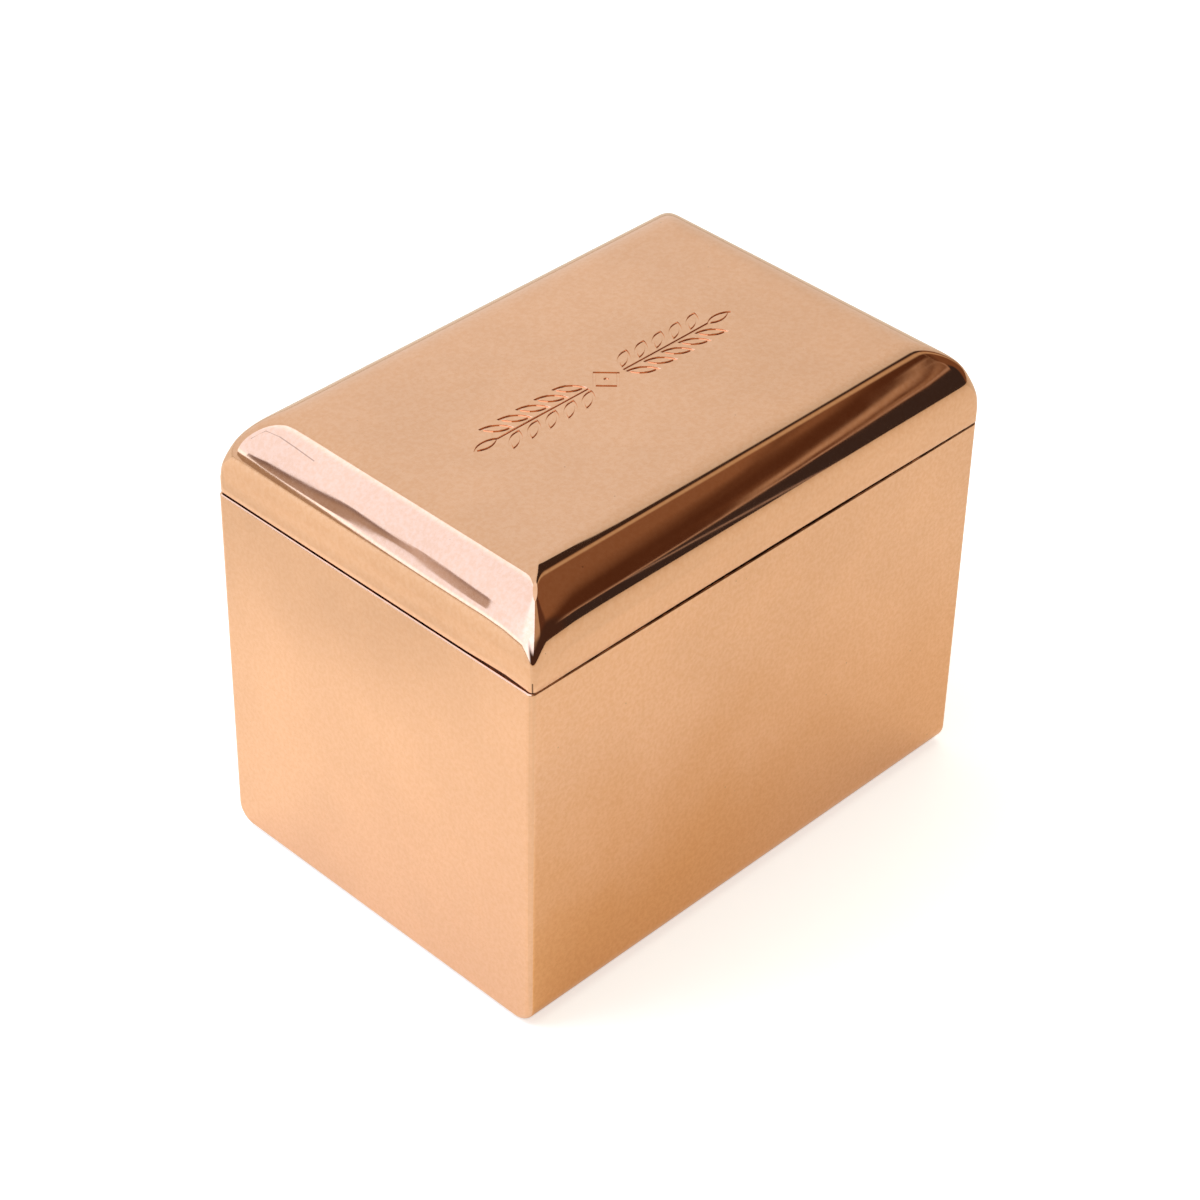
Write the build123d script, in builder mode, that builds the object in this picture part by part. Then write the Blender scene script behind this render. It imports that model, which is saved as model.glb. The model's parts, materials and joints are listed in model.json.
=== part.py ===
from build123d import *
from math import asin, atan2, degrees, sqrt
import os

# Hinged recipe box of sheet copper for index cards, in millimetres.
# +X runs along the front, -Y faces the front, +Z is up.
# The origin is the middle of the box's footprint, on the surface it stands on.

# Base
box_length = 170.0
box_width = 118.0
base_height = 113.0
base_sheet = 1.2
bottom_bend_radius = 6.0
corner_round = 1.8
rim_round = 0.5

# Felt under the base
felt_thickness = 0.8
felt_margin = 1.5
felt_corner_radius = 5.0

# Lid
lid_band_height = 7.4
lid_roll_radius = 17.0
lid_hip_round = 2.0
seam_gap = 0.4

# Collar inside the rim, which keeps the lid in line
collar_sheet = 1.0
collar_rise = 3.5
collar_seat = 9.0
collar_bend_radius = 1.6
collar_clearance = 0.3
collar_back_gap = 9.0

# Hinges on the back
hinge_length = 30.0
hinge_end_distance = 38.0
knuckle_count = 5
barrel_radius = 1.6
barrel_wall_gap = 0.3
knuckle_clearance = 0.3
pin_radius = 0.8
pin_running_clearance = 0.03
pin_end = 0.5
pin_end_round = 0.4
leaf_sheet = 0.8
leaf_corner_radius = 1.0
base_leaf_reach = 9.0
lid_leaf_margin = 0.3
open_angle = 105.0
stop_reach = 3.2
stop_thickness = 1.0
stop_gap = 0.3

# Rivets that hold the hinge leaves
rivet_radius = 0.7
rivet_clearance = 0.05
rivet_spacing = 18.0
rivet_head_radius = 1.2
rivet_head_height = 0.6
rivet_head_round = 0.5
rivet_tail_radius = 1.0
rivet_tail_height = 0.4

# Engraved leaf sprig on the lid
groove_depth = 0.3
groove_width = 0.7
leaf_length = 9.2
leaf_width = 3.4
leaf_angle = 36.0
leaf_pitch = 6.6
leaf_pairs = 5
first_leaf = 6.5
stem_gap = 0.9
centre_size = 7.0

# Heights and places that follow from the sizes above
base_bottom = felt_thickness
rim_height = base_bottom + base_height
lid_bottom = rim_height + seam_gap
lid_height = lid_band_height + lid_roll_radius
lid_top = lid_bottom + lid_height
lid_sheet = base_sheet - collar_clearance
inner_length = box_length - 2 * base_sheet
inner_width = box_width - 2 * base_sheet
end_joint = box_length / 2 - base_sheet
back_face = box_width / 2
pin_height = rim_height + seam_gap / 2
pin_out = barrel_radius + barrel_wall_gap
hinge_places = [side * (box_length / 2 - hinge_end_distance) for side in (-1, 1)]
knuckle_pitch = hinge_length / knuckle_count
lid_leaf_reach = seam_gap / 2 + lid_band_height - lid_leaf_margin
plate_start = barrel_radius + knuckle_clearance
bore_radius = pin_radius + pin_running_clearance

# The stop's face meets the base leaf at the full opening
stop_arm = sqrt(stop_reach**2 + (stop_thickness / 2) ** 2)
stop_span = pin_out - leaf_sheet - stop_gap
stop_lean = degrees(asin(stop_span / stop_arm) - atan2(stop_thickness / 2, stop_reach))
stop_angle = open_angle - 90 - stop_lean

os.makedirs("parts", exist_ok=True)


def base_section(inset):
    """Upright section across the base, its walls and bottom set in by inset."""
    with BuildSketch(Plane.YZ) as section:
        with Locations((0, base_bottom + inset)):
            Rectangle(box_width - 2 * inset, base_height - inset, align=(Align.CENTER, Align.MIN))
        fillet(section.vertices().group_by(Axis.Y)[0], bottom_bend_radius - inset)
    return section.sketch


def lid_form(inset):
    """Closed form of the lid with its mitred, rounded hips, each face set in by inset."""
    directions = (
        (Plane.XZ, box_length, box_width, Mode.ADD),
        (Plane.YZ, box_width, box_length, Mode.INTERSECT),
    )
    with BuildPart() as form:
        for plane, across, along, mode in directions:
            with BuildSketch(plane) as section:
                with Locations((0, lid_bottom)):
                    Rectangle(across - 2 * inset, lid_height - inset, align=(Align.CENTER, Align.MIN))
                fillet(section.vertices().group_by(Axis.Y)[-1], lid_roll_radius - inset)
            extrude(amount=along / 2 - inset, both=True, mode=mode)
        corners = form.edges().filter_by(Axis.Z)
        hips = form.edges().filter_by(GeomType.ELLIPSE)
        fillet(corners + hips, lid_hip_round - inset)
    return form.part


def back_plane(x, out=0.0):
    """Plane on the back of the box at pin height, facing +Y, with its own Y upwards."""
    return Plane(origin=(x, back_face + out, pin_height), x_dir=(-1, 0, 0), z_dir=(0, 1, 0))


def pin_plane(x):
    """Plane across the hinge pin at x, facing +X."""
    return Plane(origin=(x, back_face + pin_out, pin_height), x_dir=(0, 1, 0), z_dir=(1, 0, 0))


def knuckle_middles(first):
    """Places of every second knuckle along a hinge, measured from its middle."""
    return [(i - (knuckle_count - 1) / 2) * knuckle_pitch for i in range(first, knuckle_count, 2)]


def rivet_level(side):
    """Height of a leaf's rivets above the pin; side is 1 on the lid and -1 on the base."""
    reach = lid_leaf_reach if side > 0 else base_leaf_reach
    return side * (plate_start + reach) / 2


def rivet_points(side):
    """Rivet places of one leaf on a plane of back_plane."""
    return [(end * rivet_spacing / 2, rivet_level(side)) for end in (-1, 1)]


def hinge_leaf(x, side, first, reach, stop):
    """One hinge leaf: plate, its knuckles and, on the lid, the stops."""
    knuckle_length = knuckle_pitch - knuckle_clearance
    middles = knuckle_middles(first)
    with BuildPart() as leaf:
        with BuildSketch(back_plane(x)) as plate:
            with Locations((0, side * (plate_start + reach) / 2)):
                Rectangle(hinge_length - knuckle_clearance, reach - plate_start)
            far_edge = -1 if side > 0 else 0
            fillet(plate.vertices().group_by(Axis.Y)[far_edge], leaf_corner_radius)
            with Locations(*[(middle, side * plate_start / 2) for middle in middles]):
                Rectangle(knuckle_length, plate_start)
            with Locations(*rivet_points(side)):
                Circle(rivet_radius + rivet_clearance, mode=Mode.SUBTRACT)
        extrude(amount=leaf_sheet)
        for middle in middles:
            with BuildSketch(pin_plane(x + middle)):
                Circle(barrel_radius)
                if stop:
                    from_pin = (Align.MIN, Align.CENTER)
                    Rectangle(stop_reach, stop_thickness, rotation=stop_angle, align=from_pin)
            extrude(amount=knuckle_length / 2, both=True)
        with BuildSketch(pin_plane(x)):
            Circle(bore_radius)
        extrude(amount=hinge_length, both=True, mode=Mode.SUBTRACT)
    return leaf.part


def rivet_circles(side, radius, out=0.0):
    """Circles at the rivets of one side of both hinges, at a distance out from the back."""
    circles = []
    for x in hinge_places:
        with BuildSketch(back_plane(x, out)) as pattern:
            with Locations(*rivet_points(side)):
                Circle(radius)
        circles += pattern.sketch.faces()
    return circles


def rivet_set(side, wall):
    """The four rivets of the leaves on one side, each a head, a shank and a tail."""
    with BuildPart() as rivets:
        extrude(rivet_circles(side, rivet_head_radius, leaf_sheet), amount=rivet_head_height)
        fillet(rivets.faces().group_by(Axis.Y)[-1].edges(), rivet_head_round)
        extrude(rivet_circles(side, rivet_radius, leaf_sheet), amount=-(leaf_sheet + wall))
        extrude(rivet_circles(side, rivet_tail_radius, -wall), amount=-rivet_tail_height)
    return rivets.part


# Outside of the base, filed round where the ends are soldered on and along the rim
with BuildPart() as base_form:
    extrude(base_section(0), amount=box_length / 2, both=True)
    for end_face in (base_form.faces().sort_by(Axis.X)[0], base_form.faces().sort_by(Axis.X)[-1]):
        fillet(end_face.edges().sort_by(Axis.Z)[:-1], corner_round)
    fillet(base_form.faces().sort_by(Axis.Z)[-1].edges(), rim_round)

# Front, bottom and back in one bent sheet
with BuildPart() as base_wrap:
    add(base_form.part)
    extrude(base_section(base_sheet), amount=box_length, both=True, mode=Mode.SUBTRACT)
    split(bisect_by=Plane.YZ.offset(end_joint), keep=Keep.BOTTOM)
    split(bisect_by=Plane.YZ.offset(-end_joint), keep=Keep.TOP)
    extrude(rivet_circles(-1, rivet_radius + rivet_clearance), amount=-base_sheet, mode=Mode.SUBTRACT)
base_wrap.part.label = "base_wrap"
export_step(base_wrap.part, "parts/base_wrap.step")

# End panels, soldered onto the ends of the bent sheet
with BuildPart() as left_end_panel:
    add(base_form.part)
    split(bisect_by=Plane.YZ.offset(-end_joint), keep=Keep.BOTTOM)
left_end_panel.part.label = "left_end_panel"
export_step(left_end_panel.part, "parts/left_end_panel.step")

with BuildPart() as right_end_panel:
    add(base_form.part)
    split(bisect_by=Plane.YZ.offset(end_joint), keep=Keep.TOP)
right_end_panel.part.label = "right_end_panel"
export_step(right_end_panel.part, "parts/right_end_panel.step")

# Collar strip round the front and both ends, open at the hinge side
with BuildPart() as rim_collar:
    with BuildSketch(Plane.XY.offset(rim_height - collar_seat)) as strip:
        with Locations((0, -inner_width / 2)):
            Rectangle(inner_length, inner_width - collar_back_gap, align=(Align.CENTER, Align.MIN))
        fillet(strip.vertices().group_by(Axis.Y)[0], collar_bend_radius)
        offset(amount=-collar_sheet, kind=Kind.INTERSECTION, mode=Mode.SUBTRACT)
        with Locations((0, inner_width / 2 - collar_back_gap)):
            Rectangle(inner_length - 2 * collar_sheet, 2 * collar_sheet, mode=Mode.SUBTRACT)
    extrude(amount=collar_seat + collar_rise)
rim_collar.part.label = "rim_collar"
export_step(rim_collar.part, "parts/rim_collar.step")

# Felt glued to the flat of the bottom
with BuildPart() as base_felt:
    with BuildSketch():
        felt_length = box_length - 2 * (corner_round + felt_margin)
        felt_width = box_width - 2 * (bottom_bend_radius + felt_margin)
        RectangleRounded(felt_length, felt_width, felt_corner_radius)
    extrude(amount=felt_thickness)
base_felt.part.label = "base_felt"
export_step(base_felt.part, "parts/base_felt.step")

# One engraved leaf, drawn as an outline that starts at the origin
with BuildSketch() as leaf_outline:
    with BuildLine():
        SagittaArc((0, 0), (leaf_length, 0), leaf_width / 2)
        SagittaArc((leaf_length, 0), (0, 0), leaf_width / 2)
    make_face()
    offset(amount=-groove_width, mode=Mode.SUBTRACT)

# Leaf sprig: a lozenge in the middle and a branch to each side
with BuildSketch(Plane.XY.offset(lid_top)) as sprig:
    stem_end = first_leaf + leaf_pairs * leaf_pitch
    with Locations(((first_leaf + stem_end) / 2, 0)):
        Rectangle(stem_end - first_leaf, groove_width)
    for pair in range(leaf_pairs):
        for side in (-1, 1):
            leaf_start = (first_leaf + pair * leaf_pitch, side * stem_gap, 0)
            with Locations(Location(leaf_start, side * leaf_angle)):
                add(leaf_outline.sketch)
    with Locations((stem_end - groove_width, 0)):
        add(leaf_outline.sketch)
    mirror(about=Plane.YZ)
    Rectangle(centre_size, centre_size, rotation=45)
    lozenge_inside = centre_size - 2 * groove_width
    Rectangle(lozenge_inside, lozenge_inside, rotation=45, mode=Mode.SUBTRACT)
    Circle(groove_width)

# Lid, raised from one sheet with its corners closed
with BuildPart() as lid_shell:
    add(lid_form(0))
    add(lid_form(lid_sheet), mode=Mode.SUBTRACT)
    extrude(sprig.sketch, amount=-groove_depth, mode=Mode.SUBTRACT)
    extrude(rivet_circles(1, rivet_radius + rivet_clearance), amount=-lid_sheet, mode=Mode.SUBTRACT)
lid_shell.part.label = "lid_shell"
export_step(lid_shell.part, "parts/lid_shell.step")

# Two stop hinges, each with a leaf on the base, a leaf on the lid and a pin
for hinge_name, hinge_x in zip(("left_hinge", "right_hinge"), hinge_places):
    base_leaf = hinge_leaf(hinge_x, -1, 0, base_leaf_reach, stop=False)
    base_leaf.label = hinge_name + "_base_leaf"
    export_step(base_leaf, "parts/" + base_leaf.label + ".step")

    lid_leaf = hinge_leaf(hinge_x, 1, 1, lid_leaf_reach, stop=True)
    lid_leaf.label = hinge_name + "_lid_leaf"
    export_step(lid_leaf, "parts/" + lid_leaf.label + ".step")

    with BuildPart() as hinge_pin:
        with BuildSketch(pin_plane(hinge_x)):
            Circle(pin_radius)
        extrude(amount=hinge_length / 2 + pin_end, both=True)
        fillet(hinge_pin.edges().filter_by(GeomType.CIRCLE), pin_end_round)
    hinge_pin.part.label = hinge_name + "_pin"
    export_step(hinge_pin.part, "parts/" + hinge_pin.part.label + ".step")

# Rivets through the leaves and the back walls
base_rivets = rivet_set(-1, base_sheet)
base_rivets.label = "base_rivets"
export_step(base_rivets, "parts/base_rivets.step")

lid_rivets = rivet_set(1, lid_sheet)
lid_rivets.label = "lid_rivets"
export_step(lid_rivets, "parts/lid_rivets.step")
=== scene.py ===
import json
from math import copysign, cos, pi, radians, sin

import bmesh
import bpy
from mathutils import Matrix, Vector


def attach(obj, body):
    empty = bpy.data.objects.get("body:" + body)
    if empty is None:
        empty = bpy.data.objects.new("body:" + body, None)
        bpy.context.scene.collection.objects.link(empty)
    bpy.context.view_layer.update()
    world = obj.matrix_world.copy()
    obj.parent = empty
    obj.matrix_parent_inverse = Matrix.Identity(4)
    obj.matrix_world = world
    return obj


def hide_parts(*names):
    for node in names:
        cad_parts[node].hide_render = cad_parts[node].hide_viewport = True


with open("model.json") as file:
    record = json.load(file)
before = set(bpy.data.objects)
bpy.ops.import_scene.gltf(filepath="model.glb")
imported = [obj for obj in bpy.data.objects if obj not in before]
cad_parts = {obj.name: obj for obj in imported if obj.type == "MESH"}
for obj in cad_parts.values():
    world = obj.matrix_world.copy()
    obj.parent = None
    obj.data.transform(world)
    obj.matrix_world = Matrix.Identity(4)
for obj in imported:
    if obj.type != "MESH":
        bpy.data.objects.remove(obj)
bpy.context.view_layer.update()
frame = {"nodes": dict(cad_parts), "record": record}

# Polished copper recipe box on a pale floor, in metres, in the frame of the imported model:
# +X along the front, -Y out of the front, +Z up, origin under the middle of the box.

# Camera at the photograph's viewing angle
PHOTO_PIXELS = 1200
FOCAL_PIXELS = 3253.4
SENSOR_WIDTH = 36.0
CAMERA_AZIMUTH = radians(-46.06)
CAMERA_ELEVATION = radians(37.59)
CAMERA_ROLL = radians(1.26)
CAMERA_DISTANCE = 0.908
CAMERA_TARGET = Vector((0.00473, 0.00511, 0.060))

# Studio: glowing cards on a sphere around the lid, hidden from the camera and from diffuse light
CARD_CENTRE = Vector((0, 0, 0.13))
CARD_DISTANCE = 2.5
CARD_COLUMNS, CARD_ROWS = 48, 24
CARD_ELEVATIONS = (-3.0, 75)
FLOOR_SIZE = 12.0
FILL_LIGHT = (0.68, 0.58, 0.42)

# Colours of the dark room
WALL_DARK, WALL_LIT, WALL_LOW = (0.088, 0.036, 0.018), (0.245, 0.130, 0.070), (0.185, 0.090, 0.046)
STREAK_DARK, STREAK_DIM, STREAK_PALE = (0.085, 0.038, 0.020), (0.40, 0.28, 0.19), (0.46, 0.33, 0.23)
CORNER_DARK, CORNER_EDGE, CORNER_LINE = (0.042, 0.031, 0.030), (0.46, 0.34, 0.26), (0.40, 0.32, 0.28)
UPRIGHT_DARK, UPRIGHT_PALE = (0.110, 0.050, 0.030), (0.50, 0.38, 0.27)
DOOR_FRAME, DOOR_GAP = (0.52, 0.40, 0.26), (0.045, 0.028, 0.022)
DARK_STAND = (0.060, 0.032, 0.024)

# Colours of the window and of the pale wall
GLASS_RIGHT, GLASS_MIDDLE, GLASS_LEFT = (1.40, 1.72, 2.28), (1.15, 1.38, 1.88), (1.45, 1.85, 2.60)
GLASS_LOW, SILL, WINDOW_SIDE = (1.50, 1.85, 2.40), (0.42, 0.34, 0.26), (0.82, 0.82, 0.80)
THING_EDGE, THING_MIDDLE, THING_PALER = (0.24, 0.19, 0.19), (0.46, 0.40, 0.38), (0.72, 0.70, 0.78)
PALE_NEAR, PALE_WALL, PALE_BACK = (0.64, 0.63, 0.58), (0.78, 0.765, 0.72), (0.85, 0.85, 0.83)

# Outlines in the studio are drawn on curves of this height, in degrees
CURVE_HEIGHT = 60.0
# Pale streak of the dark room: azimuth and elevation along it
PALE_STREAK = (
    (-62.0, 11.9), (-57.0, 11.6), (-53.6, 12.2), (-51.0, 16.6), (-48.6, 21.8), (-45.0, 26.2),
    (-40.3, 31.2), (-31.3, 38.3), (-20.5, 43.8), (-16.5, 44.8), (-10.0, 46.0),
)
# Dark lines beside the streak: degrees over it, half width and strength
STREAK_LINES = ((2.3, 0.30, 0.75), (-2.1, 0.40, 0.80), (-4.6, 0.35, 0.60))
# Outline of the thing on the window sill, in degrees along the sill and above it
SILL_THING_TOP = (
    (-4.6, 8.8), (-2.8, 12.6), (-1.5, 17.0), (-0.8, 20.6), (-0.3, 21.6), (0.3, 20.2),
    (0.9, 19.5), (1.4, 21.8), (2.0, 22.5), (2.7, 20.6), (3.6, 18.5), (4.2, 17.0),
)
SILL_THING_BOTTOM = (
    (-4.6, 7.0), (-2.8, 4.0), (-2.1, 3.7), (-0.8, 5.2), (0.15, 10.6), (0.9, 12.4),
    (1.4, 9.0), (2.2, 6.6), (2.9, 5.9), (3.3, 8.0), (3.8, 14.0), (4.2, 18.0),
)

# Floor: painted light that the metal sees on it beside the box and far off, and the painted shade by which
# each place loses some of it
FLOOR_GLOW_NEAR, FLOOR_GLOW_FAR, FLOOR_GLOW_REACH = 0.20, 0.05, 0.18
VIEWER_CORNER_DIM, BEHIND_DIM, FAR_DIM, FRONT_DIM, LEFT_DIM = 0.09, 0.19, 0.09, 0.09, 0.16
FLOOR_LIFT = 0.55
PAPER, PAPER_TO_CAMERA = (0.80, 0.79, 0.775), (0.76, 0.79, 0.88)

# Lid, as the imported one, with each corner's radius at the lower edge, where the roll starts,
# on the roll and at the flat
LID_LENGTH, LID_WIDTH = 0.170, 0.118
LID_BOTTOM, LID_TOP = 0.1142, 0.1386
LID_ROLL, LID_SHEET = 0.017, 0.0009
LID_CORNERS = (
    (0.0026, 0.0042, 0.0036, 0.0026),
    (0.0026, 0.0070, 0.0046, 0.0046),
    (0.0028, 0.0065, 0.0052, 0.0060),
    (0.0030, 0.0080, 0.0085, 0.0075),
)
SMALLEST_RADIUS = 0.0003
CORNER_SQUARENESS = 3.5
CORNER_FALL, CORNER_FALL_REACH = 0.00115, 0.0085
# Shares of the way up the outside between which the corners open out, narrow on the roll and reach
# the flat, the front left one stops falling in, and the left side leans
FLARE_SHARES, ROLL_SHARES, FLAT_SHARES = (0.12, 0.40), (0.40, 0.60), (0.60, 1.0)
FALL_END_SHARES, LEAN_SHARES = (0.42, 0.75), (0.15, 0.50)
CORNER_STEPS, SIDE_STEPS, OUTER_STEPS, INNER_STEPS = 12, 16, 36, 12
OUTER_SIDE_IN, INNER_SIDE_IN, SIDE_LEAN = 0.0004, 0.00005, 0.00045
SEAM_BOW, SEAM_DROP, SEAM_CORNER_GAP = 0.00070, 0.00022, 0.00060
SEAM_UNEVEN_HEIGHT, SEAM_SIDE_REACH = 0.005, 0.012
# Distances in front of the lid's middle between which the left side's gap begins and ends
SEAM_GAP_BEGINS, SEAM_GAP_ENDS = (0.034, 0.050), (0.0550, 0.0580)
# Facet: its slope, and the distances between which it begins past the hip and fades to the right
FACET_ANGLE = radians(71.9)
FACET_BEGINS, FACET_FADES = (0.0, 0.0018), (0.009, 0.046)
# Heights of the sheet's inside below the roll
INNER_LEVELS = (0.119, 0.1165, LID_BOTTOM + 0.0002)
# Filed lower edge and the foot of the band: set in by, and height above the lower edge
FILED_EDGE = ((0.0006, 0.0), (0.0003, 0.0), (0.00009, 0.00009), (0.0, 0.0003), (0.0, 0.0022), (0.0, 0.0046))
TOP_RING_INSET = 0.002

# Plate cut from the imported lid's top, which holds the engraving
PLATE_LENGTH, PLATE_WIDTH, PLATE_DEPTH = 0.104, 0.024, 0.0005
MERGE_DISTANCE, CUT_DISTANCE = 0.000001, 0.0000005
GROOVE_WEAR, GROOVE_EDGE_ANGLE, GROOVE_EDGE_DEPTH = 0.0001, radians(60), 0.000005
SHARP_ANGLE = radians(35)
FLAT_MARGIN, FLAT_DEPTH = 0.0015, 0.000001

# Middle of the short stretch of the seam where the gap nearly closes and the painted shade along it fades
SEAM_UNSHADED_PLACE = (-0.079, -0.059, 0.114)
# Painted shade lines along the seam's gap: height and half width
LID_SEAM_SHADE, WRAP_SEAM_SHADE, COLLAR_SEAM_SHADE = (0.1140, 0.0004), (0.1140, 0.0003), (0.1139, 0.0006)
# Split at the lid's front left corner, and a fine crooked dark line on its left side that is a painted
# reflection: start, end, half width and strength
LID_SPLIT_AND_REFLECTION_LINES = (
    ((-0.08412, -0.05850, 0.11420), (-0.08416, -0.05848, 0.11700), 0.00022, 0.85),
    ((-0.07973, 0.05012, 0.13285), (-0.07698, 0.04723, 0.13536), 0.00014, 0.45),
    ((-0.07698, 0.04723, 0.13536), (-0.07653, 0.04222, 0.13577), 0.00014, 0.40),
    ((-0.07653, 0.04222, 0.13577), (-0.07671, 0.03579, 0.13565), 0.00018, 0.50),
    ((-0.07671, 0.03579, 0.13565), (-0.07701, 0.02850, 0.13544), 0.00018, 0.50),
)

COPPER, BRASS, FELT = (0.90, 0.53, 0.33), (0.83, 0.62, 0.30), (0.055, 0.026, 0.016)
DULL_COPPER, DULL_BRASS = tuple(0.96 * c for c in COPPER), tuple(0.9 * c for c in BRASS)
# Darker, warmer colour painted towards the foot of the bent sheet: a painted reflection of the shaded floor
# in front
PAINTED_FOOT_REFLECTION = (0.83, 0.42, 0.178)
DEEP_GRAIN, PALE_GRAIN = (0.965, 0.930, 0.885), (1.035, 1.070, 1.115)
# Colours of the painted shade along the seam, and of the dark lines: a real split and a painted reflection
SEAM_SHADE_COLOUR, SPLIT_AND_REFLECTION_DARK = (0.030, 0.012, 0.007), (0.10, 0.045, 0.025)
WAVE_DEPTH = 0.00002


def link_object(name, mesh):
    """Put a mesh in the scene as an object at the origin."""
    made = bpy.data.objects.new(name, mesh)
    bpy.context.scene.collection.objects.link(made)
    return made


def mesh_from(name, bm):
    """Turn a finished bmesh into a mesh."""
    mesh = bpy.data.meshes.new(name)
    bm.to_mesh(mesh)
    bm.free()
    return mesh


# Node helpers

def node(tree, kind, inputs=None, **settings):
    """Add a node, set its properties, and link or set its inputs."""
    made = tree.nodes.new(kind)
    for name, value in settings.items():
        setattr(made, name, value)
    for name, value in (inputs or {}).items():
        if isinstance(value, bpy.types.NodeSocket):
            tree.links.new(value, made.inputs[name])
        else:
            made.inputs[name].default_value = value
    return made


def maths(tree, operation, *values, clamp=False):
    """A Math node's result."""
    made = node(tree, "ShaderNodeMath", dict(enumerate(values)), operation=operation, use_clamp=clamp)
    return made.outputs[0]


def product(tree, first, *others):
    """Product of two or more values."""
    for other in others:
        first = maths(tree, "MULTIPLY", first, other)
    return first


def less(tree, first, second):
    """The first value less the second."""
    return maths(tree, "SUBTRACT", first, second)


def greater(tree, first, second):
    """The greater of two values."""
    return maths(tree, "MAXIMUM", first, second)


def ramp(tree, value, low, high, start=0.0, end=1.0):
    """A value carried smoothly from start to end as the input goes from low to high."""
    inputs = {"Value": value, "From Min": low, "From Max": high, "To Min": start, "To Max": end}
    return node(tree, "ShaderNodeMapRange", inputs, interpolation_type="SMOOTHSTEP").outputs["Result"]


def fading(tree, value, low, high):
    """A mask that is whole up to low and gone from high on."""
    return ramp(tree, value, low, high, 1.0, 0.0)


def blend(tree, factor, first, second):
    """Mix of two colours."""
    made = node(tree, "ShaderNodeMix", data_type="RGBA")
    for socket, value in zip((made.inputs[0], made.inputs[6], made.inputs[7]), (factor, first, second)):
        if isinstance(value, bpy.types.NodeSocket):
            tree.links.new(value, socket)
        elif isinstance(value, tuple):
            socket.default_value = (*value, 1)
        else:
            socket.default_value = value
    return made.outputs[2]


def painted(tree, below, colour, mask, strength=None):
    """A colour laid over another where the mask is, at a strength."""
    if strength is not None:
        mask = maths(tree, "MULTIPLY", mask, strength)
    return blend(tree, mask, below, colour)


def tinted(tree, colour, tint, strength):
    """A colour multiplied by a tint, at a strength."""
    made = node(tree, "ShaderNodeMix", data_type="RGBA", blend_type="MULTIPLY")
    made.inputs[0].default_value = strength
    tree.links.new(colour, made.inputs[6])
    tree.links.new(tint, made.inputs[7])
    return made.outputs[2]


def object_place(tree):
    """Place in the object's own coordinates, which are the frame's."""
    return node(tree, "ShaderNodeTexCoord").outputs["Object"]


def separate(tree, vector):
    """X, Y and Z of a vector."""
    return node(tree, "ShaderNodeSeparateXYZ", {0: vector}).outputs


def noise(tree, place, scale, detail, roughness=0.5):
    """A noise texture's value."""
    inputs = {"Vector": place, "Scale": scale, "Detail": detail, "Roughness": roughness}
    return node(tree, "ShaderNodeTexNoise", inputs).outputs[0]


def new_group(name, inputs, outputs):
    """Shader node group with named inputs (name, default) and named number outputs."""
    tree = bpy.data.node_groups.new(name, "ShaderNodeTree")
    for label, default in inputs:
        kind = "NodeSocketFloat" if isinstance(default, float) else "NodeSocketVector"
        socket = tree.interface.new_socket(label, in_out="INPUT", socket_type=kind)
        if isinstance(default, float):
            socket.default_value = default
    for label in outputs:
        tree.interface.new_socket(label, in_out="OUTPUT", socket_type="NodeSocketFloat")
    return tree, node(tree, "NodeGroupInput").outputs, node(tree, "NodeGroupOutput").inputs


def use_group(tree, group, **inputs):
    """Place a node group in a material and give its inputs."""
    made = tree.nodes.new("ShaderNodeGroup")
    made.node_tree = group
    for name, value in inputs.items():
        made.inputs[name.replace("_", " ")].default_value = value
    return made.outputs


def empty_material(name):
    """Material without nodes, and its tree."""
    material = bpy.data.materials.new(name)
    material.use_nodes = True
    material.node_tree.nodes.clear()
    return material, material.node_tree


def new_material(name, kind="ShaderNodeBsdfPrincipled"):
    """Material with one shader; returns the material, its tree and the shader."""
    material, tree = empty_material(name)
    shader = node(tree, kind)
    node(tree, "ShaderNodeOutputMaterial", {"Surface": shader.outputs[0]})
    return material, tree, shader


# Camera

def set_camera():
    """Camera that looks at the box from the photograph's side."""
    azimuth, elevation = CAMERA_AZIMUTH, CAMERA_ELEVATION
    back = Vector((sin(azimuth) * cos(elevation), -cos(azimuth) * cos(elevation), sin(elevation)))
    right = Vector((cos(azimuth), sin(azimuth), 0))
    up = back.cross(right)
    turn = Matrix((right, up, back)).transposed().to_4x4() @ Matrix.Rotation(CAMERA_ROLL, 4, "Z")
    data = bpy.data.cameras.new("photo_camera")
    data.sensor_width = SENSOR_WIDTH
    data.lens = FOCAL_PIXELS / PHOTO_PIXELS * SENSOR_WIDTH
    camera = bpy.data.objects.new("photo_camera", data)
    camera.matrix_world = Matrix.Translation(CAMERA_TARGET + back * CAMERA_DISTANCE) @ turn
    bpy.context.scene.collection.objects.link(camera)
    bpy.context.scene.camera = camera


# Studio

def direction(azimuth, elevation):
    """Unit vector at an azimuth, counter-clockwise from +X, and an elevation."""
    return Vector((cos(azimuth) * cos(elevation), sin(azimuth) * cos(elevation), sin(elevation)))


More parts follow.
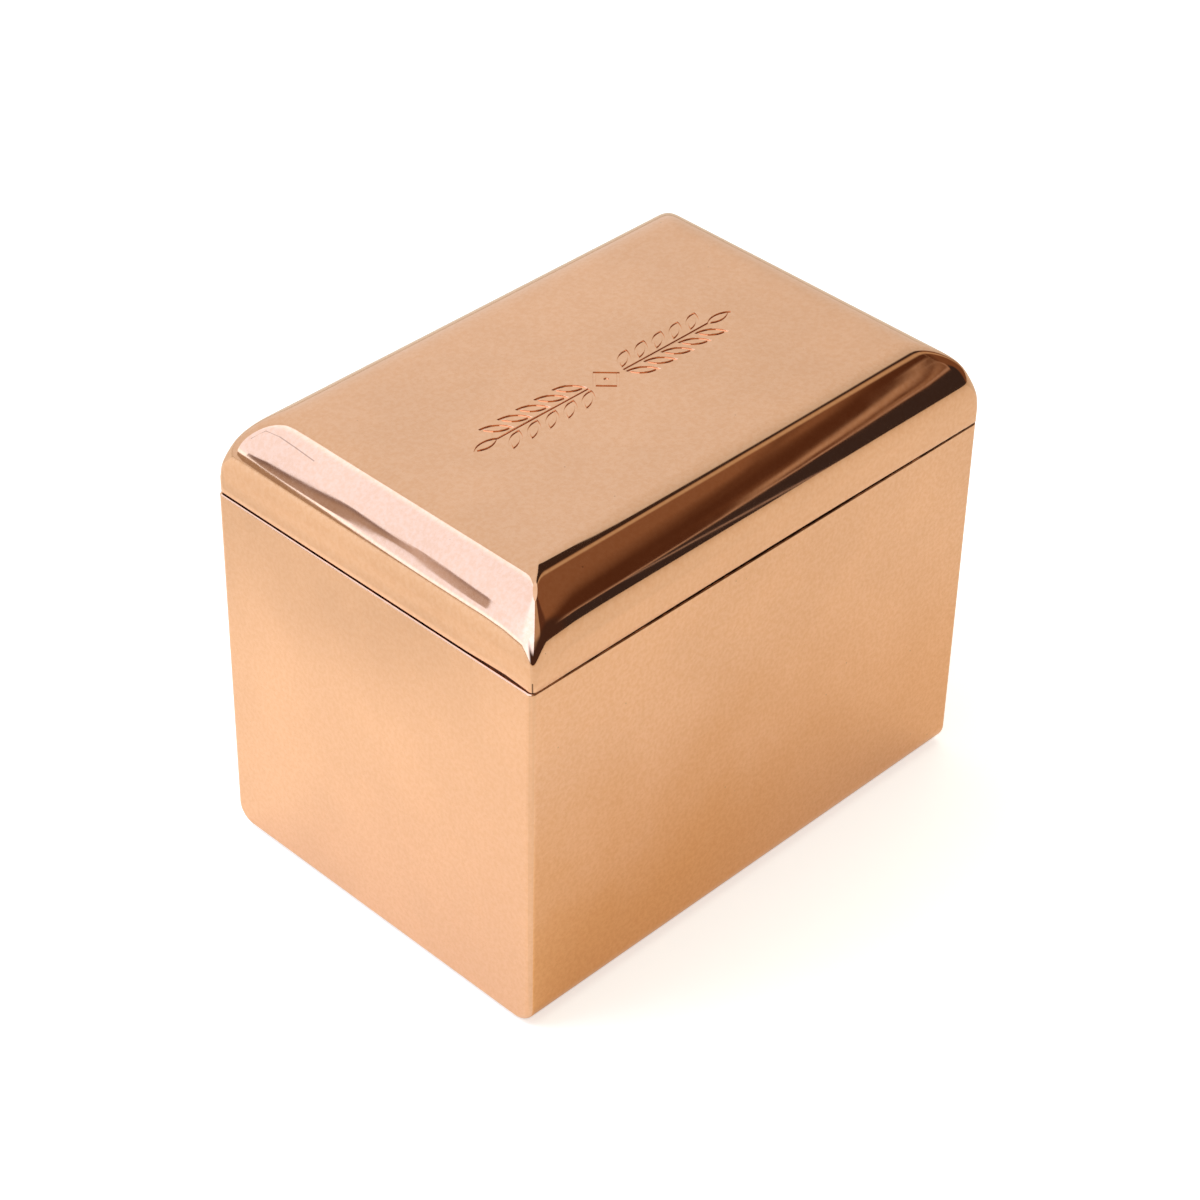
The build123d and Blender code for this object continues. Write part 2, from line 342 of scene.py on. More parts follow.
def studio_card(name, azimuths):
    """Curved card on the sphere round the lid, with its azimuth and elevation in degrees as a UV map."""
    bm = bmesh.new()
    uv = bm.loops.layers.uv.new("direction")
    bmesh.ops.create_grid(bm, x_segments=CARD_COLUMNS, y_segments=CARD_ROWS, size=0.5)

    def angles(vert):
        return (
            azimuths[0] + (vert.co.x + 0.5) * (azimuths[1] - azimuths[0]),
            CARD_ELEVATIONS[0] + (vert.co.y + 0.5) * (CARD_ELEVATIONS[1] - CARD_ELEVATIONS[0]),
        )

    for face in bm.faces:
        for corner in face.loops:
            corner[uv].uv = angles(corner.vert)
    for vert in bm.verts:
        azimuth, elevation = angles(vert)
        vert.co = CARD_CENTRE + CARD_DISTANCE * direction(radians(azimuth), radians(elevation))
    card = link_object(name, mesh_from(name, bm))
    card.visible_camera = False
    card.visible_diffuse = False
    card.visible_shadow = False
    return card


def direction_sockets(tree):
    """Azimuth and elevation of a card's point, in degrees."""
    place = separate(tree, node(tree, "ShaderNodeUVMap", uv_map="direction").outputs[0])
    return place["X"], place["Y"]


def band(tree, value, middle, half_width, softness):
    """Mask of a band round a middle value, with soft edges."""
    off = maths(tree, "ABSOLUTE", less(tree, value, middle))
    return fading(tree, off, half_width - softness / 2, half_width + softness / 2)


def outline_curve(tree, along, points):
    """Elevation in degrees along an outline given by points (place along it, elevation)."""
    first, last = points[0][0], points[-1][0]
    curve = node(tree, "ShaderNodeFloatCurve")
    line = curve.mapping.curves[0]
    spots = [((place - first) / (last - first), height / CURVE_HEIGHT) for place, height in points]
    line.points[0].location, line.points[1].location = spots[0], spots[-1]
    for spot in spots[1:-1]:
        line.points.new(*spot)
    curve.mapping.update()
    share = node(tree, "ShaderNodeMapRange", {"Value": along, "From Min": first, "From Max": last})
    tree.links.new(share.outputs["Result"], curve.inputs["Value"])
    return maths(tree, "MULTIPLY", curve.outputs["Value"], CURVE_HEIGHT)


def dark_card():
    """Dark brown room on the front and right, with the pale streaks of its edges."""
    card = studio_card("dark_card", (-136, 27))
    material, tree, shader = new_material("dark room", "ShaderNodeEmission")
    azimuth, elevation = direction_sockets(tree)

    # Brown wall, darkest along a curve that rises to the right and levels out
    from_right = maths(tree, "ADD", azimuth, 6.0)
    drop = product(tree, from_right, from_right, 0.0095)
    above = less(tree, maths(tree, "ADD", elevation, drop), 47.0)
    reach = ramp(tree, azimuth, -42.0, -14.0, 10.0, 3.0)
    wall = blend(tree, ramp(tree, above, 0.6, reach), WALL_DARK, WALL_LIT)
    second = product(tree, band(tree, above, 3.4, 0.5, 1.2), ramp(tree, azimuth, -47.0, -36.0))
    wall = painted(tree, wall, WALL_DARK, second, 0.6)
    below = product(tree, ramp(tree, above, -1.5, -6.0), ramp(tree, azimuth, -52.0, -43.0))
    wall = painted(tree, wall, WALL_LOW, below)

    # Pale streak with dark lines beside it, which spread to the left
    over = less(tree, elevation, outline_curve(tree, azimuth, PALE_STREAK))
    over = product(tree, over, ramp(tree, azimuth, -42.0, -22.0, 1.0, 3.0))
    past_left = ramp(tree, azimuth, -50.0, -42.0)
    for level, half_width, strength in STREAK_LINES:
        dark = product(tree, band(tree, over, level, half_width, 0.8), past_left)
        wall = painted(tree, wall, STREAK_DARK, dark, strength)
    dim = product(tree, band(tree, over, -3.3, 0.5, 1.0), past_left)
    wall = painted(tree, wall, STREAK_DIM, dim, 0.65)
    streak = product(tree, band(tree, over, 0.0, 1.2, 2.0), fading(tree, azimuth, -20.0, -11.0))
    streak_strength = ramp(tree, azimuth, -56.0, -47.0, 0.35, 0.95)
    wall = painted(tree, wall, STREAK_PALE, streak, streak_strength)

    # Dark corner under a thin pale edge
    corner_edge = greater(tree, maths(tree, "ADD", azimuth, 65.7), 9.6)
    over_corner = less(tree, elevation, corner_edge)
    thin = product(tree, band(tree, over_corner, 1.1, 0.6, 0.9), fading(tree, azimuth, -33.0, -24.0))
    wall = painted(tree, wall, CORNER_EDGE, thin, 0.85)
    corner = product(tree, fading(tree, over_corner, -0.5, 0.5), fading(tree, azimuth, -37.0, -32.0))
    wall = painted(tree, wall, CORNER_DARK, corner)

    # Fine pale line that falls to the right across the dark corner
    fall = maths(tree, "MULTIPLY_ADD", azimuth, 3.0, elevation)
    line = product(tree, band(tree, fall, -156.3, 1.2, 1.6), fading(tree, azimuth, -50.5, -49.0))
    line = product(tree, line, fading(tree, over, -2.0, 0.0))
    wall = painted(tree, wall, CORNER_LINE, line, 0.8)

    # Pale upright at the viewer's side, with a dark one beside it and a dark foot
    wall = painted(tree, wall, UPRIGHT_DARK, fading(tree, azimuth, -70.0, -62.0))
    wall = painted(tree, wall, UPRIGHT_PALE, fading(tree, azimuth, -100.0, -92.0))
    stand = product(tree, fading(tree, azimuth, -66.0, -60.0), fading(tree, elevation, 16.0, 26.0))
    wall = painted(tree, wall, DARK_STAND, stand)

    # Pale door frame, and the black gap between it and the pale wall
    wall = painted(tree, wall, DOOR_FRAME, band(tree, azimuth, 1.2, 3.8, 5.0))
    high = greater(tree, less(tree, elevation, 48.5), 0.0)
    edge = maths(tree, "MULTIPLY_ADD", product(tree, high, high), 0.21, 10.8)
    gap = product(tree, ramp(tree, azimuth, 4.5, 7.5), ramp(tree, elevation, 40.0, 45.0))
    wall = painted(tree, wall, DOOR_GAP, gap)
    wall = painted(tree, wall, pale_colour(tree, azimuth), ramp(tree, less(tree, azimuth, edge), -1.8, 1.8))
    tree.links.new(wall, shader.inputs["Color"])
    card.data.materials.append(material)


def window_card():
    """Bright cool window on the left, with the dark shape of a thing on its sill."""
    card = studio_card("window_card", (86, 224))
    material, tree, shader = new_material("window light", "ShaderNodeEmission")
    azimuth, elevation = direction_sockets(tree)
    glass = blend(tree, ramp(tree, azimuth, 91, 106), GLASS_RIGHT, GLASS_MIDDLE)
    glass = painted(tree, glass, GLASS_LEFT, ramp(tree, azimuth, 149, 172))

    # The sill is higher at the far end, with the brightest strip of glass over it
    over_sill = less(tree, elevation, ramp(tree, azimuth, 139.5, 145.5, 4.6, -2.2))
    glass = painted(tree, glass, GLASS_LOW, fading(tree, over_sill, 2.0, 5.0))

    # The thing on the sill, by its lower and upper outline along the sill
    bend = product(tree, elevation, elevation, 0.0087)
    along = less(tree, maths(tree, "ADD", azimuth, bend), 144.0)
    top = outline_curve(tree, along, SILL_THING_TOP)
    bottom = outline_curve(tree, along, SILL_THING_BOTTOM)
    under_top = less(tree, top, elevation)
    over_bottom = less(tree, elevation, bottom)
    inside = product(tree, ramp(tree, under_top, -0.4, 0.6), ramp(tree, over_bottom, -0.4, 0.6))
    ends = product(tree, ramp(tree, along, -4.6, -4.3), fading(tree, along, 3.90, 4.15))
    thing = blend(tree, ramp(tree, under_top, 1.0, 7.0), THING_EDGE, THING_MIDDLE)
    paler = product(tree, ramp(tree, along, 0.5, 1.2), ramp(tree, along, 1.3, 2.8, 1.0, 0.25))
    thing = painted(tree, thing, THING_PALER, paler)
    glass = painted(tree, glass, thing, inside, ends)
    glass = painted(tree, glass, SILL, fading(tree, over_sill, -0.4, 0.4))

    # Pale wall beyond the window's slanting right side
    down = greater(tree, less(tree, 47.0, elevation), 0.0)
    side = product(tree, down, maths(tree, "MULTIPLY_ADD", down, 0.0155, 0.25))
    past = less(tree, less(tree, azimuth, 90.3), side)
    glass = painted(tree, glass, WINDOW_SIDE, fading(tree, past, -0.5, 0.5))

    # Dark stand at the viewer's side
    stand = product(tree, ramp(tree, azimuth, 180.0, 200.0), fading(tree, elevation, 12.0, 20.0))
    glass = painted(tree, glass, DARK_STAND, stand)
    tree.links.new(glass, shader.inputs["Color"])
    card.data.materials.append(material)


def pale_colour(tree, azimuth):
    """Colour of the pale wall, which is dimmer towards the dark room."""
    return blend(tree, ramp(tree, azimuth, 10.0, 34.0), PALE_NEAR, PALE_WALL)


def pale_card():
    """Pale wall on the right and back."""
    card = studio_card("pale_card", (27, 86))
    material, tree, shader = new_material("pale wall", "ShaderNodeEmission")
    azimuth, elevation = direction_sockets(tree)
    wall = painted(tree, pale_colour(tree, azimuth), PALE_BACK, ramp(tree, azimuth, 34.0, 46.0))
    tree.links.new(wall, shader.inputs["Color"])
    card.data.materials.append(material)


def floor_dimming(tree, place, before):
    """Painted shade: how much dimmer than beside the box the metal sees each place of the floor."""
    front = fading(tree, place["Y"], -0.068, -0.058)
    viewer_corner = product(tree, fading(tree, place["X"], -0.088, -0.081), front)
    behind = ramp(tree, maths(tree, "ADD", place["X"], place["Y"]), 0.22, 0.34)
    far = product(tree, ramp(tree, before, 0.07, 0.16), ramp(tree, place["X"], -0.10, -0.08))
    front_right = product(tree, front, ramp(tree, place["X"], -0.03, 0.15, 0.0, FRONT_DIM))
    from_left = less(tree, -LID_LENGTH / 2, place["X"])
    left = ramp(tree, from_left, 0.05, 0.09, 0.0, LEFT_DIM)
    left = product(tree, left, ramp(tree, from_left, 0.098, 0.110, 1.0, 0.4))
    left = product(tree, left, ramp(tree, place["Y"], 0.03, 0.10, 0.15, 1.0))
    dim = greater(tree, product(tree, viewer_corner, VIEWER_CORNER_DIM), product(tree, behind, BEHIND_DIM))
    dim = greater(tree, dim, product(tree, far, FAR_DIM))
    dim = greater(tree, dim, front_right)
    return greater(tree, dim, left)


def set_floor():
    """Pale floor that keeps the box's shadow."""
    bm = bmesh.new()
    bmesh.ops.create_grid(bm, x_segments=2, y_segments=2, size=FLOOR_SIZE / 2)
    floor = link_object("floor", mesh_from("floor", bm))
    material, tree = empty_material("pale floor")
    place = separate(tree, object_place(tree))
    seen = node(tree, "ShaderNodeLightPath").outputs
    metal_ray = greater(tree, seen["Is Glossy Ray"], seen["Is Transmission Ray"])
    # Painted light and shade seen only by the metal: the paper brightest close to the box, and dimmer at the
    # viewer's corner and behind
    beside = less(tree, maths(tree, "ABSOLUTE", place["X"]), LID_LENGTH / 2)
    before = less(tree, maths(tree, "ABSOLUTE", place["Y"]), LID_WIDTH / 2)
    outside = greater(tree, beside, before)
    glow = ramp(tree, outside, 0.0, FLOOR_GLOW_REACH, FLOOR_GLOW_NEAR, FLOOR_GLOW_FAR)
    # The same painted shade also darkens the paper's own colour where the metal sees it
    kept = less(tree, 1.0, product(tree, floor_dimming(tree, place, before), metal_ray))
    metal_sees = product(tree, metal_ray, glow, kept)
    # Paper, a little cooler to the camera, so that the shadow has no tint
    paper_colour = blend(tree, seen["Is Camera Ray"], PAPER, PAPER_TO_CAMERA)
    paper = node(tree, "ShaderNodeBsdfDiffuse", {"Color": blend(tree, kept, (0, 0, 0), paper_colour)})
    strength = maths(tree, "MULTIPLY_ADD", seen["Is Camera Ray"], FLOOR_LIFT, metal_sees)
    lift = node(tree, "ShaderNodeEmission", {"Color": (1, 1, 1, 1), "Strength": strength})
    both = node(tree, "ShaderNodeAddShader", {0: paper.outputs[0], 1: lift.outputs[0]})
    node(tree, "ShaderNodeOutputMaterial", {"Surface": both.outputs[0]})
    floor.data.materials.append(material)


def set_world():
    """White surroundings for the camera and the metal, and a softer, warmer fill for the rest."""
    world = bpy.data.worlds.new("studio")
    bpy.context.scene.world = world
    world.use_nodes = True
    tree = world.node_tree
    tree.nodes.clear()
    seen = node(tree, "ShaderNodeLightPath").outputs
    shown = greater(tree, seen["Is Camera Ray"], seen["Is Glossy Ray"])
    shown = greater(tree, shown, seen["Is Transmission Ray"])
    light = blend(tree, shown, FILL_LIGHT, (1, 1, 1))
    shader = node(tree, "ShaderNodeBackground", {"Color": light, "Strength": 1.0})
    node(tree, "ShaderNodeOutputWorld", {"Surface": shader.outputs[0]})


def soft_lamp(name, azimuth, elevation, distance, size, power, colour):
    """Square soft lamp that faces the box; the metal shows the cards in its place."""
    data = bpy.data.lights.new(name, "AREA")
    data.shape = "SQUARE"
    data.size = size
    data.energy = power
    data.color = colour
    lamp = bpy.data.objects.new(name, data)
    out = direction(azimuth, elevation)
    facing = out.to_track_quat("Z", "Y").to_matrix().to_4x4()
    lamp.matrix_world = Matrix.Translation(out * distance) @ facing
    lamp.visible_glossy = False
    bpy.context.scene.collection.objects.link(lamp)


# Lid

def smooth_share(value, low, high):
    """Smooth step from 0 to 1."""
    share = min(max((value - low) / (high - low), 0.0), 1.0)
    return share * share * (3 - 2 * share)


def lid_outline(inset, radii, side_in):
    """Plan of the lid at one level, counter-clockwise from its front left corner."""
    corners = []
    for corner, (side_x, side_y) in enumerate(((-1, -1), (1, -1), (1, 1), (-1, 1))):
        radius = max(radii[corner], SMALLEST_RADIUS)
        half_x = LID_LENGTH / 2 - inset - (side_in if side_x < 0 else 0.0)
        half_y = LID_WIDTH / 2 - inset
        middle = Vector((side_x * (half_x - radius), side_y * (half_y - radius)))
        places = []
        for step in range(CORNER_STEPS + 1):
            turn = radians(180 + 90 * corner + 90 * (step / CORNER_STEPS))
            out = Vector((cos(turn), sin(turn)))
            square = Vector([copysign(abs(part) ** (2 / CORNER_SQUARENESS), part) for part in out])
            places.append(middle + radius * square)
        corners.append(places)
    # Straight sides between the corners
    outline = []
    for corner, places in enumerate(corners):
        start, end = places[-1], corners[(corner + 1) % len(corners)][0]
        outline += places
        outline += [start.lerp(end, step / SIDE_STEPS) for step in range(1, SIDE_STEPS)]
    return outline


def corner_radii(path, thinner=0.0):
    """Corner radii of the lid at a share of the way up its outside, from the lower edge to the flat."""
    low = smooth_share(path, *FLARE_SHARES)
    half = smooth_share(path, *ROLL_SHARES)
    high = smooth_share(path, *FLAT_SHARES)
    radii = []
    for bottom, flare, roll, top in LID_CORNERS:
        radius = bottom + (flare - bottom) * low + (roll - flare) * half + (top - roll) * high
        radii.append(radius - thinner)
    return radii


def lid_level(inset, height, path, thinner=0.0, side_in=0.0):
    """Places of one ring of the lid's sheet; its lower edge fits the base by hand, with an uneven seam."""
    low = 1 - smooth_share(height, LID_BOTTOM, LID_BOTTOM + SEAM_UNEVEN_HEIGHT)
    fall = CORNER_FALL * smooth_share(path, *FLARE_SHARES) * (1 - smooth_share(path, *FALL_END_SHARES))
    side_in += SIDE_LEAN * smooth_share(path, *LEAN_SHARES)
    fuller = facet_height(inset) - height if thinner < LID_SHEET else 0.0
    front_edge, left_edge = -LID_WIDTH / 2, -LID_LENGTH / 2
    places = []
    for place in lid_outline(inset, corner_radii(path, thinner), side_in):
        # The front left corner falls in where the roll starts
        from_left = place.x + LID_LENGTH / 2 - inset - side_in
        from_front = place.y + LID_WIDTH / 2 - inset
        near = [max(0.0, 1 - gap / CORNER_FALL_REACH) ** 2 for gap in (from_left, from_front)]
        place += Vector((fall, fall)) * near[0] * near[1]
        # The lower edge bows up in front, drops at its ends and stands off near the left side's front end
        front = 1 - smooth_share(place.y, front_edge, front_edge + SEAM_SIDE_REACH)
        left = 1 - smooth_share(place.x, left_edge, left_edge + SEAM_SIDE_REACH)
        bow = 1 - (2 * place.x / LID_LENGTH) ** 2
        gap = smooth_share(-place.y, *SEAM_GAP_BEGINS) * (1 - smooth_share(-place.y, *SEAM_GAP_ENDS))
        lift = front * (SEAM_BOW * bow - SEAM_DROP)
        lift += left * ((1 - front) * SEAM_DROP * 0.5 + gap * SEAM_CORNER_GAP)
        raised = max(fuller, 0.0) * facet_share(place)
        places.append(Vector((place.x, place.y, height + low * lift + raised)))
    return places


def facet_height(inset):
    """Height of the narrow facet that the mallet left along the top's front edge, tangent to the roll."""
    start = LID_ROLL * (1 - cos(FACET_ANGLE))
    if inset < start:
        return 0.0
    slope = cos(FACET_ANGLE) / sin(FACET_ANGLE)
    return min(LID_TOP, LID_TOP - LID_ROLL * (1 - sin(FACET_ANGLE)) + slope * (inset - start))


def facet_share(place):
    """Share of the facet at a place: whole at the front left hip, then fading to the right."""
    from_left, from_front = place.x + LID_LENGTH / 2, place.y + LID_WIDTH / 2
    return smooth_share(from_left - from_front, *FACET_BEGINS) * (1 - smooth_share(from_left, *FACET_FADES))


def ring_edges(ring, find):
    """Edges from each vertex of a ring to the one before it, found or made by find."""
    return [find((ring[index - 1], ring[index])) for index in range(len(ring))]


def grow_ring(bm, ring, places):
    """Extrude a ring of vertices and move the new ring to its places."""
    edges = ring_edges(ring, bm.edges.get)
    fresh = set(bmesh.ops.extrude_edge_only(bm, edges=edges)["geom"])
    grown = []
    for vert in ring:
        ends = [edge.other_vert(vert) for edge in vert.link_edges]
        grown.append(next(end for end in ends if end in fresh))
    for vert, place in zip(grown, places):
        vert.co = place
    return grown


def engraved_plate(bm):
    """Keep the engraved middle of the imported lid's top, with its grooves' upper edges a little worn."""
    bm.from_mesh(frame["nodes"]["lid_shell"].data)
    bmesh.ops.remove_doubles(bm, verts=bm.verts, dist=MERGE_DISTANCE)
    cuts = [((0, 0, LID_TOP - PLATE_DEPTH), (0, 0, -1))]
    cuts += [((side * PLATE_LENGTH / 2, 0, 0), (side, 0, 0)) for side in (-1, 1)]
    cuts += [((0, side * PLATE_WIDTH / 2, 0), (0, side, 0)) for side in (-1, 1)]
    for point, normal in cuts:
        everything = bm.verts[:] + bm.edges[:] + bm.faces[:]
        bmesh.ops.bisect_plane(
            bm, geom=everything, dist=CUT_DISTANCE, plane_co=point, plane_no=normal, clear_outer=True)
    softened = []
    for edge in bm.edges:
        if edge.is_boundary or edge.calc_face_angle(0.0) <= GROOVE_EDGE_ANGLE:
            continue
        if min(vert.co.z for vert in edge.verts) > LID_TOP - GROOVE_EDGE_DEPTH:
            softened.append(edge)
    bmesh.ops.bevel(
        bm, geom=softened, affect="EDGES", offset=GROOVE_WEAR, segments=2, profile=0.5, material=-1,
        clamp_overlap=True)
    return [edge for edge in bm.edges if edge.is_boundary]


def shade_lid(bm, inside):
    """Shade all smooth but the flat round the engraving, which keeps its own straight-up normal."""
    flat_length = LID_LENGTH / 2 - LID_ROLL - FLAT_MARGIN
    flat_width = LID_WIDTH / 2 - LID_ROLL - FLAT_MARGIN

    def off_flat(place):
        return place.z < LID_TOP - FLAT_DEPTH or abs(place.x) > flat_length or abs(place.y) > flat_width

    for face in bm.faces:
        face.material_index = 1 if face in inside else 0
        face.smooth = any(off_flat(vert.co) for vert in face.verts)
    for edge in bm.edges:
        edge.smooth = edge.calc_face_angle(0.0) < SHARP_ANGLE


def lid_skin():
    """Lid as raised by hand: corners that open out as they rise, soft hips and an uneven lower edge."""
    bm = bmesh.new()
    plate_edges = engraved_plate(bm)
    outside = set(bm.faces)
    roll_centre = LID_TOP - LID_ROLL
    inner_roll = LID_ROLL - LID_SHEET
    total = roll_centre - LID_BOTTOM + LID_ROLL * pi / 2

    def way_up(angle):
        return (roll_centre - LID_BOTTOM + LID_ROLL * angle) / total

    def inner_level(angle):
        inset, height = LID_ROLL - inner_roll * cos(angle), roll_centre + inner_roll * sin(angle)
        return lid_level(inset, height, way_up(angle), LID_SHEET, INNER_SIDE_IN)

    # Inside, from the ceiling down
    ring = [bm.verts.new(place) for place in inner_level(pi / 2)]
    bmesh.ops.edgeloop_fill(bm, edges=ring_edges(ring, bm.edges.new))
    for step in range(INNER_STEPS - 1, -1, -1):
        ring = grow_ring(bm, ring, inner_level(pi / 2 * step / INNER_STEPS))
    for height in INNER_LEVELS:
        path = (height - LID_BOTTOM) / total
        ring = grow_ring(bm, ring, lid_level(LID_SHEET, height, path, LID_SHEET, INNER_SIDE_IN))
    inside = set(bm.faces) - outside
    # Filed lower edge, then up the outside
    for inset, height in FILED_EDGE:
        path = height / total
        ring = grow_ring(bm, ring, lid_level(inset, LID_BOTTOM + height, path, inset, OUTER_SIDE_IN))
    for step in range(OUTER_STEPS + 1):
        angle = pi / 2 * step / OUTER_STEPS
        inset, height = LID_ROLL * (1 - cos(angle)), roll_centre + LID_ROLL * sin(angle)
        ring = grow_ring(bm, ring, lid_level(inset, height, way_up(angle), 0.0, OUTER_SIDE_IN))
    top_ring = lid_level(LID_ROLL + TOP_RING_INSET, LID_TOP, 1.0, TOP_RING_INSET, OUTER_SIDE_IN)
    ring = grow_ring(bm, ring, top_ring)
    rim = ring_edges(ring, bm.edges.get)
    bmesh.ops.triangle_fill(bm, use_beauty=True, edges=plate_edges + rim)
    bmesh.ops.recalc_face_normals(bm, faces=bm.faces)
    shade_lid(bm, inside)
    lid = link_object("lid_skin", mesh_from("lid_skin", bm))
    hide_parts("lid_shell")
    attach(lid, "lid")
    return lid


# Materials

def buffed_group():
    """Marks that all the metals share: cloudy tone, fine mottling, a little haze, waves and tiny pits."""
    inputs = [
        ("Cloud Size", 0.03),
        ("Mottle Size", 0.0012),
        ("Pit Spacing", 0.004),
        ("Pit Share", 0.12),
        ("Wave Size", 0.02),
    ]
    tree, given, out = new_group("buffed metal", inputs, ("Tone", "Mottle", "Haze", "Pit", "Height"))
    place = object_place(tree)

    def scale(name):
        return maths(tree, "DIVIDE", 1.0, given[name])

    cloud_scale = scale("Cloud Size")
    tree.links.new(noise(tree, place, cloud_scale, 4.0, 0.55), out["Tone"])
    tree.links.new(noise(tree, place, scale("Mottle Size"), 4.0, 0.6), out["Mottle"])
    tree.links.new(noise(tree, place, product(tree, cloud_scale, 4.0), 3.0), out["Haze"])
    spots = node(tree, "ShaderNodeTexVoronoi", {"Vector": place, "Scale": scale("Pit Spacing")})
    draw = node(tree, "ShaderNodeSeparateColor", {0: spots.outputs["Color"]}).outputs[0]
    chosen = maths(tree, "LESS_THAN", draw, given["Pit Share"])
    pit = product(tree, fading(tree, spots.outputs["Distance"], 0.02, 0.07), chosen)
    tree.links.new(pit, out["Pit"])
    wave = noise(tree, place, scale("Wave Size"), 1.0)
    tree.links.new(less(tree, wave, product(tree, pit, 0.6)), out["Height"])
    return tree


def seam_shade_group():
    """Mask of the painted shade along the seam's gap, a thin level line, from its height and half its width.
    """
    inputs = [
        ("Level", 0.114),
        ("Half Width", 0.0003),
        ("Clean Place", Vector()),
        ("Unshaded Reach", 0.008),
    ]
    tree, given, out = new_group("painted seam shade", inputs, ("Mask",))
    place = object_place(tree)
    off = maths(tree, "ABSOLUTE", less(tree, separate(tree, place)["Z"], given["Level"]))
    ragged = noise(tree, place, 400.0, 3.0)
    reach = product(tree, given["Half Width"], ramp(tree, ragged, 0.3, 0.7, 0.8, 1.25))
    line = fading(tree, maths(tree, "DIVIDE", off, reach), 0.75, 1.1)
    apart = node(tree, "ShaderNodeVectorMath", {0: place, 1: given["Clean Place"]}, operation="DISTANCE")
    away = maths(tree, "DIVIDE", apart.outputs["Value"], given["Unshaded Reach"])
    # The painted shade is weaker where the seam's gap nearly closes
    softened = ramp(tree, away, 0.5, 1.0, 0.35, 1.0)
    tree.links.new(product(tree, line, softened), out["Mask"])
    return tree


def hairline_group():
    """Mask of a fine straight mark from one point to another."""
    inputs = [("Start", Vector()), ("End", Vector()), ("Half Width", 0.0001)]
    tree, given, out = new_group("hairline", inputs, ("Mask",))

    def vector(operation, first, second, output="Vector"):
        made = node(tree, "ShaderNodeVectorMath", {0: first, 1: second}, operation=operation)
        return made.outputs[output]

    place = vector("SUBTRACT", object_place(tree), given["Start"])
    run = vector("SUBTRACT", given["End"], given["Start"])
    gone, whole = vector("DOT_PRODUCT", place, run, "Value"), vector("DOT_PRODUCT", run, run, "Value")
    share = maths(tree, "DIVIDE", gone, whole, clamp=True)
    nearest = node(tree, "ShaderNodeVectorMath", {0: run, "Scale": share}, operation="SCALE").outputs[0]
    off = vector("DISTANCE", place, nearest, "Value")
    tree.links.new(fading(tree, maths(tree, "DIVIDE", off, given["Half Width"]), 0.5, 1.0), out["Mask"])
    return tree


def metal(name, colour, dull, rough, grain_strength=1.0, foot_reflection=None, shaded_seam=None, split_and_reflection_lines=()):
    """Polished metal: colour, its duller tone, roughness and how strong its fine mottling is.

    The colour painted towards the box's foot is a painted reflection of the shaded floor, darker and warmer;
    the seam line's (level, half width) gives a painted shade along the seam's gap; and the dark lines are
    (start, end, half width, strength), a real split and a painted reflection line.
    """
    material, tree, shader = new_material(name)
    marks = use_group(tree, buffed)
    tone = blend(tree, ramp(tree, marks["Tone"], 0.35, 0.65), dull, colour)
    if foot_reflection:
        # Painted reflection of the shaded floor: darker and warmer towards the foot, less so to the right
        place = separate(tree, object_place(tree))
        uneven = maths(tree, "MULTIPLY_ADD", marks["Tone"], 0.05, place["Z"])
        weaker_right = ramp(tree, place["X"], -0.04, 0.06, 1.0, 0.45)
        tone = painted(tree, tone, foot_reflection, fading(tree, uneven, 0.035, 0.115), weaker_right)
    grain = blend(tree, ramp(tree, marks["Mottle"], 0.32, 0.68), DEEP_GRAIN, PALE_GRAIN)
    tone = tinted(tree, tone, grain, grain_strength)
    tone = painted(tree, tone, tuple(c * 0.25 for c in colour), marks["Pit"], 0.6)
    roughness = ramp(tree, marks["Haze"], 0.3, 0.7, rough * 0.8, rough * 1.3)
    if shaded_seam:
        level, half_width = shaded_seam
        # Painted shade: a near-black, rougher line along the seam's gap
        line = use_group(tree, seam_shade_lines, Level=level, Half_Width=half_width, Clean_Place=SEAM_UNSHADED_PLACE)
        seam_darkening = line["Mask"]
        tone = painted(tree, tone, SEAM_SHADE_COLOUR, seam_darkening, 0.93)
        roughness = maths(tree, "MULTIPLY_ADD", seam_darkening, 0.4, roughness)
    # Dark lines: a real split, and a painted reflection line on the left roll
    for start, end, half_width, strength in split_and_reflection_lines:
        mark = use_group(tree, hairline, Start=start, End=end, Half_Width=half_width)["Mask"]
        tone = painted(tree, tone, SPLIT_AND_REFLECTION_DARK, mark, strength)
    tree.links.new(tone, shader.inputs["Base Color"])
    tree.links.new(roughness, shader.inputs["Roughness"])
    shader.inputs["Metallic"].default_value = 1.0
    bump = node(tree, "ShaderNodeBump", {"Height": marks["Height"], "Strength": 1.0, "Distance": WAVE_DEPTH})
    tree.links.new(bump.outputs[0], shader.inputs["Normal"])
    return material


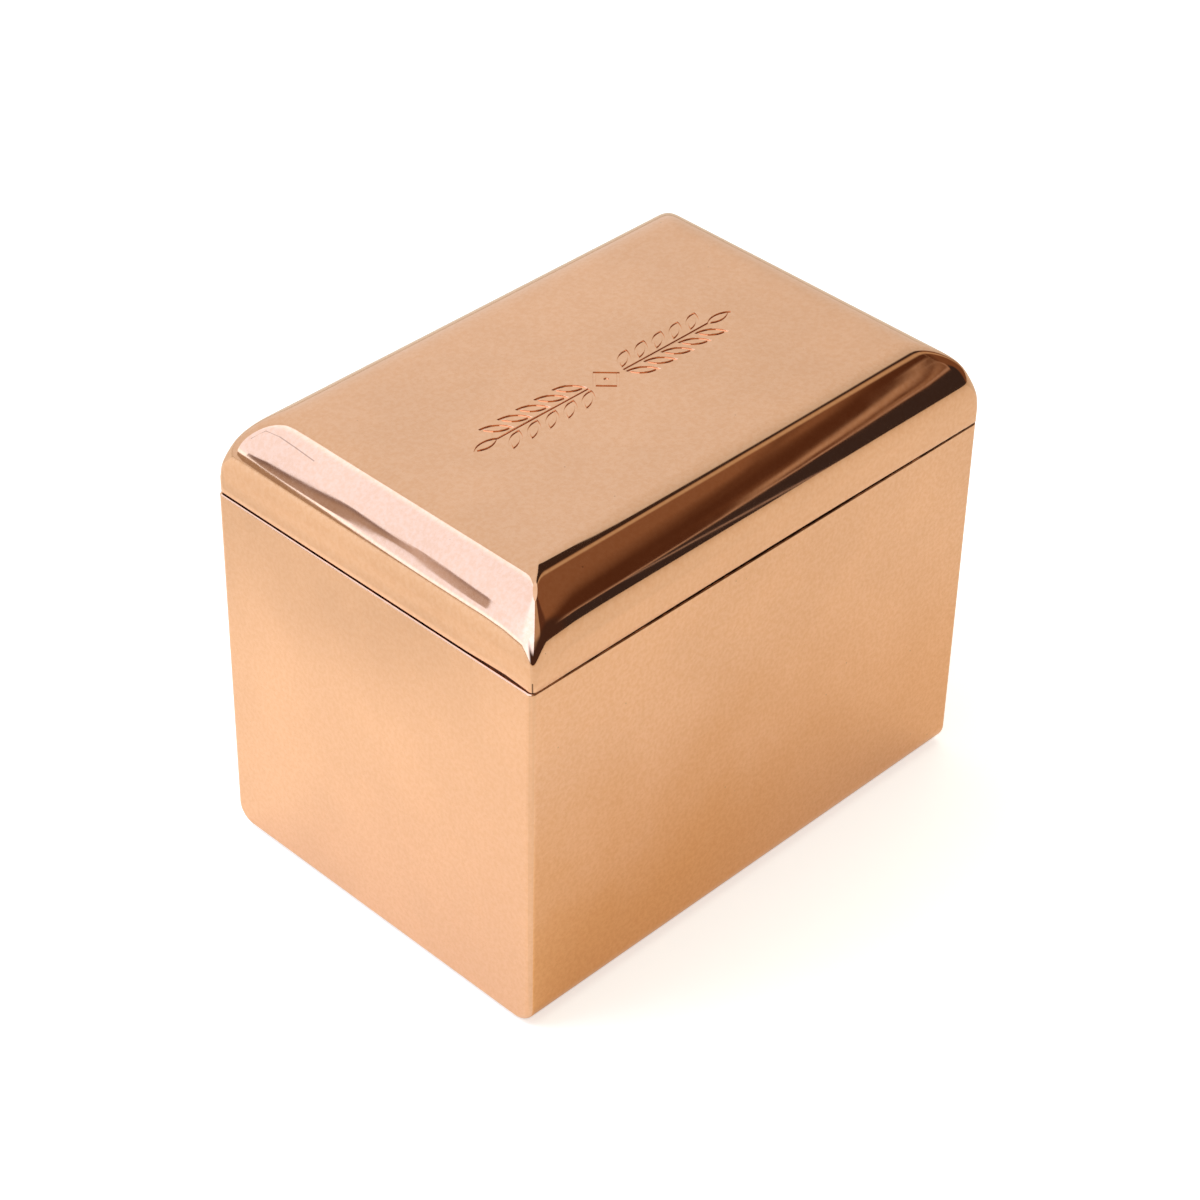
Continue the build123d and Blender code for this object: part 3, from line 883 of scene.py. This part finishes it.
def felt_material():
    """Dark brown felt."""
    material, tree, shader = new_material("brown felt")
    fibre = noise(tree, object_place(tree), 900.0, 3.0)
    tree.links.new(blend(tree, fibre, FELT, tuple(2.2 * c for c in FELT)), shader.inputs["Base Color"])
    shader.inputs["Roughness"].default_value = 0.95
    shader.inputs["Sheen Weight"].default_value = 0.3
    bump = node(tree, "ShaderNodeBump", {"Height": fibre, "Strength": 0.8, "Distance": 0.0003})
    tree.links.new(bump.outputs[0], shader.inputs["Normal"])
    return material


bpy.context.scene.view_settings.view_transform = "Standard"
set_camera()
set_world()
set_floor()
dark_card()
window_card()
pale_card()
soft_lamp("window_lamp", radians(135), radians(45), 2.0, 1.4, 24.0, (0.60, 0.80, 1.0))
soft_lamp("top_lamp", radians(60), radians(80), 2.0, 1.6, 13.0, (1.0, 0.93, 0.74))

lid = lid_skin()
buffed = buffed_group()
seam_shade_lines = seam_shade_group()
hairline = hairline_group()
lid_copper = metal(
    "lid copper", COPPER, DULL_COPPER, 0.05, grain_strength=0.75, shaded_seam=LID_SEAM_SHADE, split_and_reflection_lines=LID_SPLIT_AND_REFLECTION_LINES)
lid_inside = metal("unpolished inside of the lid", COPPER, DULL_COPPER, 0.20)
end_copper = metal("end panel copper", COPPER, DULL_COPPER, 0.11, grain_strength=0.6)
wrap_copper = metal(
    "bent sheet copper", COPPER, DULL_COPPER, 0.11, grain_strength=0.9, foot_reflection=PAINTED_FOOT_REFLECTION, shaded_seam=WRAP_SEAM_SHADE)
collar_copper = metal("collar copper", COPPER, DULL_COPPER, 0.14, shaded_seam=COLLAR_SEAM_SHADE)
brass = metal("polished brass", BRASS, DULL_BRASS, 0.12)
finishes = {"copper": end_copper, "brass": brass, "felt": felt_material()}
own_finishes = {"base_wrap": wrap_copper, "rim_collar": collar_copper}
slots = {part["node"]: part["material_slot"] for part in frame["record"]["subparts"]}
for name, piece in frame["nodes"].items():
    piece.data.materials[0] = own_finishes.get(name, finishes[slots[name]])
lid.data.materials.append(lid_copper)
lid.data.materials.append(lid_inside)
